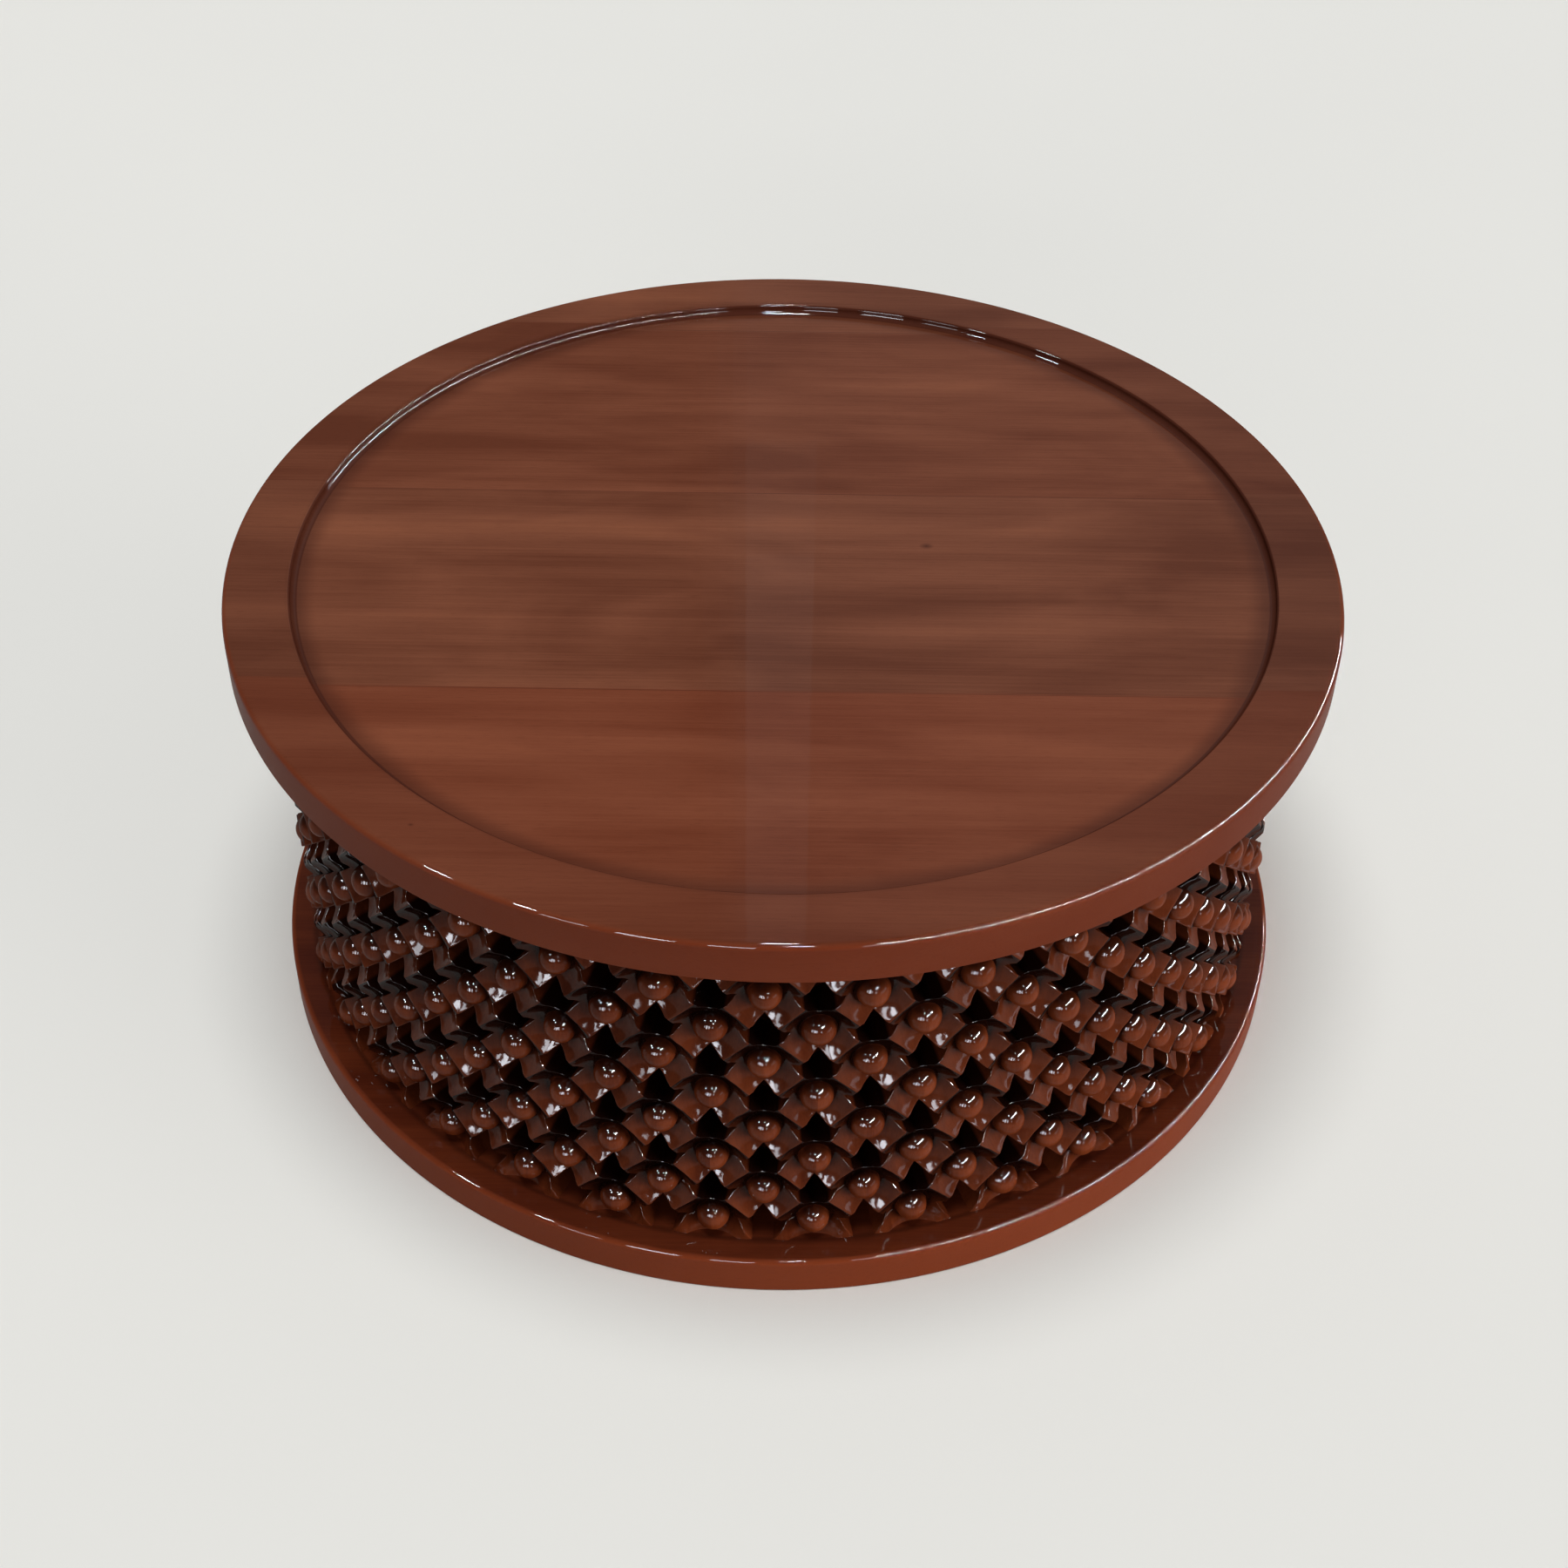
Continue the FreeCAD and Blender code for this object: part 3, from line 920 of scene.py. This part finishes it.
class Patchwork:
    """Patches of a stave's surface, the same for all staves, sewn into one closed mesh each."""

    # Points in the same cell of this size are one. The shift keeps them off the borders of the cells.
    SEWING = 1e-6
    SEWING_SHIFT = 0.1234

    def __init__(self, last_outer: int) -> None:
        """Start with nothing.

        Args:
            last_outer: Number of the last ring of a ball's ground that is on the outer surface.
        """
        self.last_outer = last_outer
        self.points: list[np.ndarray] = []
        self.glazes_and_shades: list[np.ndarray] = []
        self.skins: list[np.ndarray] = []
        self.flats: list[np.ndarray] = []
        self.caps: list[np.ndarray] = []
        self.joints: dict[int, list[np.ndarray]] = {-1: [], 1: []}
        self.count = 0

    def grid(self, points: np.ndarray, pooled_and_shaded: np.ndarray) -> np.ndarray:
        """Take in a patch.

        Args:
            points: Its points by stave, ring and ray.
            pooled_and_shaded: The glaze and painted shade at each.

        Returns:
            The numbers of its points in a stave, by ring and ray.
        """
        staves, rings, rays = pooled_and_shaded.shape
        numbers = self.count + np.arange(rings * rays).reshape(rings, rays)
        self.points.append(points.reshape(staves, -1, 3))
        self.glazes_and_shades.append(pooled_and_shaded.reshape(staves, -1))
        self.count += rings * rays
        return numbers

    @staticmethod
    def faces(near: np.ndarray, far: np.ndarray) -> np.ndarray:
        """Quads between rows of points and the rows beyond them.

        Args:
            near: Numbers of the points of the near rows.
            far: Numbers of the points of the far rows.

        Returns:
            One row of four point numbers per quad.
        """
        return np.stack([near[..., :-1], far[..., :-1], far[..., 1:], near[..., 1:]], -1).reshape(-1, 4)

    def add_ground(self, points: np.ndarray, pooled_and_shaded: np.ndarray, kinds: np.ndarray,
                   joint: int = 0) -> None:
        """Take in the ground round one ball, or the half of it that lies at a joint.

        Args:
            points: Its points by stave, ring and ray.
            pooled_and_shaded: The glaze and painted shade at each.
            kinds: What lies beyond each stretch of its border.
            joint: -1 for a half at the stave's lower joint, 1 for one at its upper joint, else 0.
        """
        grid = self.grid(points, pooled_and_shaded)
        outer = self.last_outer
        self.skins.append(self.faces(grid[:outer], grid[1:outer + 1]))
        wall = self.faces(grid[outer], grid[outer + 1])
        self.flats.append(wall[kinds != Edge.RIDGE.value])
        self.flats.append(self.faces(grid[outer + 1:-1], grid[outer + 2:]))
        if joint:
            low, high = (grid[:, 0], grid[:, -1]) if joint < 0 else (grid[:, -1], grid[:, 0])
            cap = np.concatenate([low[outer::-1], high[1:], low[-2:outer:-1]])
            self.caps.append(cap if joint < 0 else cap[::-1])
            self.joints[joint].append(np.concatenate([low[:outer + 1], high[:outer + 1]]))

    @staticmethod
    def clean(quads: np.ndarray) -> list[np.ndarray]:
        """Turn quads with a side of no length into triangles, and drop those with two.

        Args:
            quads: Four point numbers per face.

        Returns:
            The true quads, and the triangles.
        """
        open_side = quads != np.roll(quads, -1, axis=1)
        sides = open_side.sum(1)
        three = quads[sides == 3][open_side[sides == 3]].reshape(-1, 3)
        return [quads[sides == 4], three]

    @staticmethod
    def facing(points: np.ndarray, faces: np.ndarray) -> np.ndarray:
        """Twice the area of each face, as a vector along its normal."""
        corners = points[..., faces, :]
        return np.cross(corners, np.roll(corners, -1, axis=-2)).sum(-2)

    def meshes(self) -> list[tuple[bpy.types.Mesh, np.ndarray]]:
        """Sew the patches together.

        Returns:
            Each stave's mesh, with the glaze and painted shade at its vertices.
        """
        points = np.concatenate(self.points, 1)
        glazes_and_shades = np.concatenate(self.glazes_and_shades, 1)
        keys = np.round(points[0] / self.SEWING + self.SEWING_SHIFT).astype(np.int64)
        _, first, sewn = np.unique(keys, axis=0, return_index=True, return_inverse=True)
        sewn = sewn.reshape(-1)
        points, glazes_and_shades = points[:, first], glazes_and_shades[:, first]
        skins = self.clean(sewn[np.concatenate(self.skins)])
        flats = self.clean(sewn[np.concatenate(self.flats)]) + [sewn[np.stack(self.caps)]]
        normals = np.zeros_like(points)
        for faces in skins:
            facing = self.facing(points, faces)
            for corner in range(faces.shape[1]):
                for stave in range(len(points)):
                    np.add.at(normals[stave], faces[:, corner], facing[stave])
        pairs = np.stack([sewn[np.concatenate(self.joints[side])] for side in (-1, 1)])
        low, high = np.unique(pairs, axis=1)
        both = normals[:, low] + np.roll(normals, 1, axis=0)[:, high]
        normals[:, low] = both
        normals[:, high] = np.roll(both, -1, axis=0)
        normals /= np.linalg.norm(normals, axis=-1, keepdims=True).clip(1e-20)
        return [(self.mesh(points[stave], skins, flats, normals[stave]), glazes_and_shades[stave])
                for stave in range(len(points))]

    def mesh(self, points: np.ndarray, skins: list[np.ndarray], flats: list[np.ndarray],
             normals: np.ndarray) -> bpy.types.Mesh:
        """Make one stave's mesh.

        Args:
            points: Its points.
            skins: Faces of the outer surface, shaded smooth.
            flats: Faces of hole walls, joints and the inside, shaded flat.
            normals: Normals of the outer surface at its points.

        Returns:
            The mesh.
        """
        made = bpy.data.meshes.new("stave")
        groups = skins + flats
        corners = np.concatenate([faces.ravel() for faces in groups])
        totals = np.concatenate([np.full(len(faces), faces.shape[1]) for faces in groups])
        shading = [normals[faces].reshape(-1, 3) for faces in skins]
        for faces in flats:
            facing = self.facing(points, faces)
            facing /= np.linalg.norm(facing, axis=-1, keepdims=True).clip(1e-20)
            shading.append(np.repeat(facing, faces.shape[1], axis=0))
        made.vertices.add(len(points))
        made.vertices.foreach_set("co", points.ravel())
        made.loops.add(len(corners))
        made.loops.foreach_set("vertex_index", corners)
        made.polygons.add(len(totals))
        made.polygons.foreach_set("loop_start", np.concatenate([[0], np.cumsum(totals)[:-1]]))
        made.update(calc_edges=True)
        made.polygons.foreach_set("use_smooth", np.ones(len(totals), bool))
        made.normals_split_custom_set(np.concatenate(shading))
        return made


@dataclass(frozen=True)
class HiddenJoinery:
    """Tongues and dowels, which the glued joints hide."""

    nodes: tuple[str, ...] = ("top_tongues", "base_tongues", "stave_dowels", "top_dowels", "base_dowels")
    finish: BareWood = BareWood()

    def dress(self) -> None:
        """Give the CAD solids their bare wood."""
        material = self.finish.material()
        for name in self.nodes:
            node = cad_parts[name]
            if not node.material_slots:
                node.data.materials.append(material)
            for slot in node.material_slots:
                slot.material = material
            log.info("%s: dressed", name)


class Use(Enum):
    """What a lamp is there for."""

    FILL = "lights the stain softly, and is too dim to mirror"
    SPARKLE = "is mirrored in the lacquer, and adds no light to the stain"

    def apply(self, holder: bpy.types.Object) -> None:
        """Keep a lamp to its use."""
        holder.visible_glossy = self is Use.SPARKLE
        holder.visible_diffuse = self is Use.FILL


def way_to(azimuth: float, elevation: float) -> Vector:
    """Direction from the table, given in degrees. Azimuth 0 is the front and 90 the right."""
    turn, lift = math.radians(azimuth), math.radians(elevation)
    return Vector((math.sin(turn) * math.cos(lift), -math.cos(turn) * math.cos(lift), math.sin(lift)))


def aim(holder: bpy.types.Object, way: Vector) -> None:
    """Turn a lamp so that it shines along a direction."""
    holder.rotation_euler = way.to_track_quat("-Z", "Y").to_euler()


def flat_lamp(name: str, size: tuple[float, float], brightness: float, use: Use,
              shape: str = "RECTANGLE") -> bpy.types.Object:
    """Make a flat lamp, with the power that its brightness and size need.

    Args:
        name: Name of the lamp.
        size: Width and height.
        brightness: What a ray sees that meets it, where white paper is 1. An ellipse is 4 / pi of that.
        use: What it is there for.
        shape: Blender's name of its shape.

    Returns:
        The lamp, to be placed and turned.
    """
    light = bpy.data.lights.new(name, "AREA")
    light.shape = shape
    light.size, light.size_y = size
    light.energy = brightness * math.pi * size[0] * size[1]
    holder = put(name, light)
    use.apply(holder)
    return holder


@dataclass(frozen=True)
class Lamp:
    """A studio lamp, seen from the table in one direction and lit to one brightness.

    A large one is a rectangular window or softbox, and a small one has a round shade.
    """

    name: str
    azimuth: float
    elevation: float
    size: tuple[float, float]
    brightness: float
    use: Use = Use.SPARKLE
    tint: tuple[float, float, float] = (0.86, 0.92, 1.0)
    distance: float = 7.5
    round_below: float = 0.8

    def build(self) -> None:
        """Hang the lamp."""
        shape = "RECTANGLE" if max(self.size) > self.round_below else "ELLIPSE"
        holder = flat_lamp(self.name, self.size, self.brightness, self.use, shape)
        holder.data.color = self.tint
        way = way_to(self.azimuth, self.elevation)
        holder.location = TABLE_MIDDLE + way * self.distance
        aim(holder, -way)


@dataclass(frozen=True)
class TubeRow:
    """A straight row of thin tubes, between two directions as seen from the table."""

    start: tuple[float, float] = (18.0, 38.0)
    end: tuple[float, float] = (129.0, 14.0)
    distance: float = 7.0
    width: float = 0.08
    brightness: float = 1600.0

    def build(self) -> None:
        """Hang the row."""
        low, high = (way_to(*spot) * self.distance for spot in (self.start, self.end))
        along = (high - low).normalized()
        middle = (low + high) / 2
        back = (middle - along * middle.dot(along)).normalized()
        turn = Matrix((along, back.cross(along), back)).transposed()
        holder = flat_lamp("tube_row", ((high - low).length, self.width), self.brightness, Use.SPARKLE)
        holder.matrix_world = Matrix.Translation(TABLE_MIDDLE + middle) @ turn.to_4x4()


@dataclass(frozen=True)
class BackPanel:
    """A softly lit upright stretch of wall behind the table, which the top mirrors.

    Its left and right are metres from the middle, and its bottom and top are metres from the floor.
    """

    name: str
    left: float
    right: float
    brightness: float
    bottom: float = 2.3
    top: float = 5.2
    behind: float = 4.0

    def build(self) -> None:
        """Stand the panel up."""
        size = (self.right - self.left, self.top - self.bottom)
        holder = flat_lamp(self.name, size, self.brightness, Use.SPARKLE)
        holder.location = ((self.left + self.right) / 2, self.behind, (self.bottom + self.top) / 2)
        aim(holder, Vector((0.0, -1.0, 0.0)))


@dataclass(frozen=True)
class Paper:
    """Matt white background paper, unrolled under the table: nearly even, with the faintest mottling."""

    name: str = "matt_background_paper"
    colour: str = "e8e8e4"
    mottled: str = "e5e5e1"
    bounce: str = "8a8a86"
    clouds_per_metre: float = 1.2

    def material(self) -> bpy.types.Material:
        """Build the paper, which throws less light back up than it shows.

        Returns:
            The material.
        """
        made, tree = blank_material(self.name)
        place = add_node(tree, "TexCoord")
        cloud = add_node(tree, "TexNoise", {"Scale": self.clouds_per_metre, "Detail": 3.0},
                         {"Vector": place.outputs["Object"]})
        colour = add_node(tree, "Mix", {"data_type": "RGBA", 6: linear(self.colour),
                                        7: linear(self.mottled)}, {"Factor": cloud.outputs["Fac"]})
        path = add_node(tree, "LightPath")
        seen = add_node(tree, "Math", {"operation": "ADD"},
                        {0: path.outputs["Is Camera Ray"], 1: path.outputs["Is Glossy Ray"]})
        shown = add_node(tree, "Math", {"operation": "ADD", "use_clamp": True},
                         {0: seen.outputs[0], 1: path.outputs["Is Transmission Ray"]})
        told = add_node(tree, "Mix", {"data_type": "RGBA", 6: linear(self.bounce)},
                        {"Factor": shown.outputs[0], 7: colour.outputs[2]})
        shader = add_node(tree, "BsdfDiffuse", {"Roughness": 0.3}, {"Color": told.outputs[2]})
        add_node(tree, "OutputMaterial", {}, {"Surface": shader.outputs[0]})
        return made


@dataclass(frozen=True)
class Studio:
    """The paper floor, the lamps and the camera."""

    floor_half: float = 50.0
    paper: Paper = Paper()
    horizon_colour: str = "626261"
    zenith_colour: str = "7c7c7e"
    sky_light: float = 2.26
    sky_angle: float = 31.0
    sky_lean: tuple[float, float] = (-30.0, 86.0)
    camera_place: tuple[float, float, float] = (0.002966, -1.743193, 1.688061)
    camera_pitch: float = 41.29234
    camera_roll: float = 0.80695
    camera_lens: float = 54.3218
    camera_sensor: float = 36.0
    lamps: tuple[Lamp, ...] = (
        Lamp("front_right_fill", 66.0, 4.0, (28.8, 4.8), 22.0, Use.FILL, (1.0, 0.95, 0.89), 36.0),
        Lamp("front_left_fill", -12.0, 12.0, (28.8, 15.0), 1.9, Use.FILL, (1.0, 0.97, 0.93), 36.0),
        Lamp("window_pane_left", -37.0, 17.0, (1.0, 1.7), 38.0),
        Lamp("window_pane_middle", -23.0, 20.0, (1.2, 2.3), 72.0),
        Lamp("window_pane_right", -8.0, 20.0, (1.0, 2.0), 48.0),
        Lamp("front_right_window", 18.0, 18.0, (0.9, 1.3), 26.0),
        Lamp("left_high_lamp", -54.0, 47.0, (0.4, 0.7), 500.0),
        Lamp("left_side_lamp", -77.0, 48.0, (0.6, 0.6), 500.0),
        Lamp("front_ceiling_lamp", 5.0, 59.0, (0.5, 0.4), 500.0),
        Lamp("overhead_lamp", 180.0, 71.0, (0.28, 0.28), 2000.0),
        Lamp("right_low_window", 72.0, 4.5, (6.0, 0.8), 5.0),
    )
    panels: tuple[BackPanel, ...] = (
        BackPanel("wall_behind_left", -4.0, -0.25, 0.12),
        BackPanel("doorway_shade_outer", -0.25, -0.2, 0.2),
        BackPanel("doorway_shade_middle", -0.2, -0.155, 0.32),
        BackPanel("doorway_shade_inner", -0.155, -0.12, 0.44),
        BackPanel("doorway_low", -0.12, 0.084, 0.56, top=2.9),
        BackPanel("doorway_middle", -0.12, 0.084, 0.8, bottom=2.9, top=3.3),
        BackPanel("doorway_high", -0.12, 0.084, 1.1, bottom=3.3),
        BackPanel("wall_behind_right", 0.084, 4.0, 0.56),
    )
    tubes: TubeRow = TubeRow()

    def build(self) -> None:
        """Lay the floor, hang the lamps and set the camera."""
        self.floor()
        self.air()
        self.sky()
        for light in (*self.lamps, self.tubes, *self.panels):
            light.build()
        self.camera()

    def floor(self) -> None:
        """Lay the paper floor."""
        bm = bmesh.new()
        bmesh.ops.create_grid(bm, x_segments=6, y_segments=6, size=self.floor_half)
        mesh = bpy.data.meshes.new("paper_floor")
        bm.to_mesh(mesh)
        bm.free()
        mesh.materials.append(self.paper.material())
        put("paper_floor", mesh)

    def sky(self) -> None:
        """Hang the broad, soft light from above, which the lacquer doesn't mirror."""
        sky = bpy.data.lights.new("diffused_skylight", "SUN")
        sky.energy, sky.angle = self.sky_light, math.radians(self.sky_angle)
        holder = put("diffused_skylight", sky)
        aim(holder, -way_to(*self.sky_lean))
        Use.FILL.apply(holder)

    def air(self) -> None:
        """Fill the room with weak light, darker towards the horizon."""
        world = bpy.data.worlds.new("studio_air")
        world.use_nodes = True
        tree = world.node_tree
        tree.nodes.clear()
        way = add_node(tree, "TexCoord")
        lift = add_node(tree, "SeparateXYZ", {}, {"Vector": way.outputs["Generated"]})
        share = add_node(tree, "MapRange", {"From Min": 0.1, "From Max": 0.6}, {"Value": lift.outputs["Z"]})
        colour = add_node(tree, "Mix", {"data_type": "RGBA", 6: linear(self.horizon_colour),
                                        7: linear(self.zenith_colour)}, {"Factor": share.outputs[0]})
        air = add_node(tree, "Background", {}, {"Color": colour.outputs[2]})
        add_node(tree, "OutputWorld", {}, {"Surface": air.outputs[0]})
        bpy.context.scene.world = world

    def camera(self) -> None:
        """Set the camera where the photographer stood."""
        pitch, roll = math.radians(self.camera_pitch), math.radians(self.camera_roll)
        ahead = Vector((0.0, math.cos(pitch), -math.sin(pitch)))
        level = Vector((1.0, 0.0, 0.0))
        above = Vector((0.0, math.sin(pitch), math.cos(pitch)))
        right = math.cos(roll) * level + math.sin(roll) * above
        up = math.cos(roll) * above - math.sin(roll) * level
        turn = Matrix((right, up, -ahead)).transposed()
        data = bpy.data.cameras.new("camera")
        data.lens = self.camera_lens
        data.sensor_width = self.camera_sensor
        holder = put("camera", data)
        holder.matrix_world = Matrix.Translation(self.camera_place) @ turn.to_4x4()
        bpy.context.scene.camera = holder


# The top: long soft bands under a mirror-smooth coat, with dark glaze and painted shade in a ring at the
# foot of the recess.
TOP_LACQUER = Lacquer("lacquered_hardwood_top", Grain.ALONG_X, "8a533a", "744430", "5c3120", "3a1a12",
                      band_mm=(520.0, 46.0), cloud_mm=(300.0, 110.0), peel_depth=0.006,
                      ring_radius=436 * MM, ring_width=20 * MM, seam_start=-188 * MM,
                      seam_step=295 * MM, ruddy="84371a", gloss=0.17,
                      knots=((0.13, 0.026, 0.005), (-0.29, -0.37, 0.003)))
# The base: the same boards in a deeper red, with a fine line of painted shadow where the drum stands.
BASE_LACQUER = Lacquer("lacquered_hardwood_base", Grain.ALONG_X, "743520", "622b17", "4b1d10", "240e08",
                       band_mm=(520.0, 46.0), cloud_mm=(300.0, 110.0), peel_depth=0.006,
                       ring_radius=464 * MM, ring_width=5 * MM, ruddy="8a3e20", gloss=0.17)
# The drum: redder and darker, with short upright bands and a coat that lies less evenly on carving.
DRUM_LACQUER = Lacquer("lacquered_hardwood_drum", Grain.ALONG_Z, "863f22", "75361c", "5a2511", "140604",
                       band_mm=(160.0, 12.0), cloud_mm=(200.0, 60.0), coat_roughness=0.09)


def main() -> None:
    """Build the table in its studio."""
    logging.basicConfig(level=logging.INFO)
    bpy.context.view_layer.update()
    bpy.context.scene.view_settings.view_transform = "Standard"
    Studio().build()
    Disc("top", TOP_LACQUER, tones=(-0.05, 0.05, -0.06, 0.02), redness=(0.22, 0.0, 0.06, 0.0),
         rim_width=59 * MM, recess_depth=8 * MM, inner_rounding=2.5 * MM, cove=5 * MM).build()
    Disc("base", BASE_LACQUER, tones=(0.03, -0.03, 0.04, 0.0)).build()
    Drum(DRUM_LACQUER).build()
    HiddenJoinery().dress()


if __name__ == "__main__":
    main()
